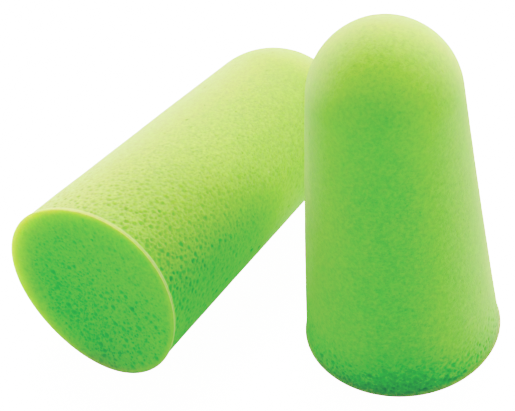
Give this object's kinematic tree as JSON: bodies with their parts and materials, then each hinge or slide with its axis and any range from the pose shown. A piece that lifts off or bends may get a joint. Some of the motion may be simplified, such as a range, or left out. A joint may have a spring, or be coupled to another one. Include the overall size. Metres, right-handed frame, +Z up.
{
  "type": "foam ear plugs",
  "caption": "Tapered soft foam ear plugs with domed tips and flat lipped bases, rolled thin and put in the ear canals to block noise.",
  "frame": {"origin": "centre of the standing plug's flat base, on the resting plane", "axes": "+Z up along the standing plug's axis towards its domed tip; the lying plug lies at -X, with its base towards -X -Y and its tip towards +X +Y"},
  "size_m": [0.0316, 0.0274, 0.026],
  "materials": {
    "foam": null
  },
  "bodies": {
    "standing_plug": {"standing_plug": "foam"},
    "lying_plug": {"lying_plug": "foam"}
  },
  "joints": [
    {"name": "lying_plug_lift", "type": "slide", "parent": "standing_plug", "child": "lying_plug", "axis": [0, 0, 1], "range_m": [0, 0.014]}
  ]
}
